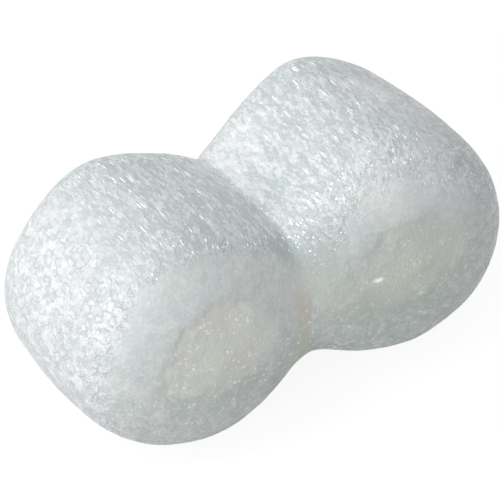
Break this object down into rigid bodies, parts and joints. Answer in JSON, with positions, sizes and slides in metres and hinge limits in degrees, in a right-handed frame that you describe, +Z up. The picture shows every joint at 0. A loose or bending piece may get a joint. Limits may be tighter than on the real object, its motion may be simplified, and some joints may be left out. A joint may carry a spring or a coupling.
{
  "type": "packing peanut",
  "caption": "Loose-fill foam packing peanut: two rounded lobes joined by a creased waist, with softly dished cut ends. Fills the space round goods in a box.",
  "frame": {"origin": "middle of the footprint, on the surface that the peanut lies on", "axes": "+X along the peanut from one lobe to the other, Y along the extrusion from cut end to cut end with -Y towards the camera, +Z up"},
  "size_m": [0.0418, 0.0242, 0.0213],
  "materials": {
    "white_foam": "pearly white foam with a soft sheen, fine cells and streaks"
  },
  "bodies": {
    "root": {"foam_peanut": "white_foam"}
  },
  "joints": []
}
